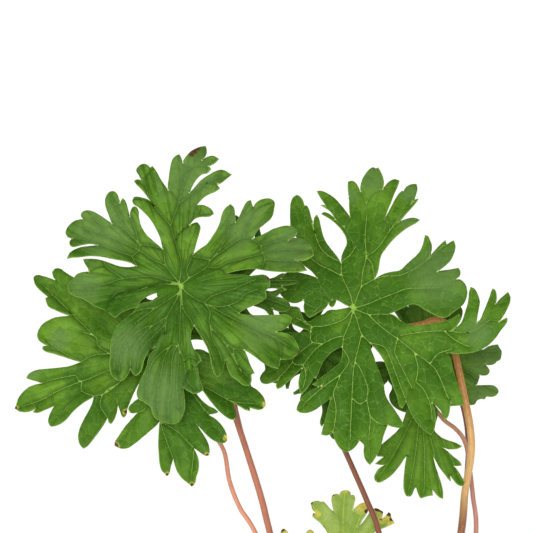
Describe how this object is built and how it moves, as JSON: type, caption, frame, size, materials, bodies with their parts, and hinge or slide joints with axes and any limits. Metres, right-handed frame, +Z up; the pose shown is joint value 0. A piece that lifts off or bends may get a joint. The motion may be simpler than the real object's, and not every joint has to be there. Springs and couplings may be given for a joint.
{
  "type": "hardy geranium",
  "caption": "Potted garden perennial: deeply cut, toothed palmate leaves on long thin stalks from one rootstock, in soil in a plain tapered pot.",
  "frame": {"origin": "centre of the pot's flat underside", "axes": "+Z up through the plant, -Y towards the side the large leaves face"},
  "size_m": [0.2008, 0.1347, 0.3465],
  "materials": {
    "leaf_green": "satin, softly hairy, veined",
    "leaf_dark": "satin, shaded green",
    "leaf_bright": "satin, fresh green",
    "leaf_yellow": "satin, yellowing with dry tips",
    "stalk_red": "satin",
    "stalk_salmon": "satin",
    "stalk_tan": "satin",
    "stalk_brown": "satin",
    "stalk_pink": "satin",
    "stalk_pale": "satin",
    "pot_clay": "matte",
    "soil_dark": "loose, matt",
    "crown_brown": "rough, scaly"
  },
  "bodies": {
    "root": {"pot": "pot_clay", "soil": "soil_dark", "crown": "crown_brown", "blade_front_left": "leaf_green", "stalk_front_left": "stalk_red", "blade_behind_left": "leaf_dark", "stalk_behind_left": "stalk_red", "blade_back_left": "leaf_green", "stalk_back_left": "stalk_salmon", "blade_front_right": "leaf_green", "stalk_front_right": "stalk_tan", "blade_behind_middle": "leaf_dark", "stalk_behind_middle": "stalk_brown", "blade_far_right": "leaf_dark", "stalk_far_right": "stalk_brown", "blade_low_right": "leaf_bright", "stalk_low_right": "stalk_pink", "blade_low_middle": "leaf_yellow", "stalk_low_middle": "stalk_pale", "blade_low_left": "leaf_yellow", "stalk_low_left": "stalk_pale", "blade_basal_right": "leaf_green", "stalk_basal_right": "stalk_red", "blade_basal_front": "leaf_bright", "stalk_basal_front": "stalk_red", "blade_basal_left": "leaf_green", "stalk_basal_left": "stalk_red", "blade_basal_back": "leaf_dark", "stalk_basal_back": "stalk_red"}
  },
  "joints": []
}
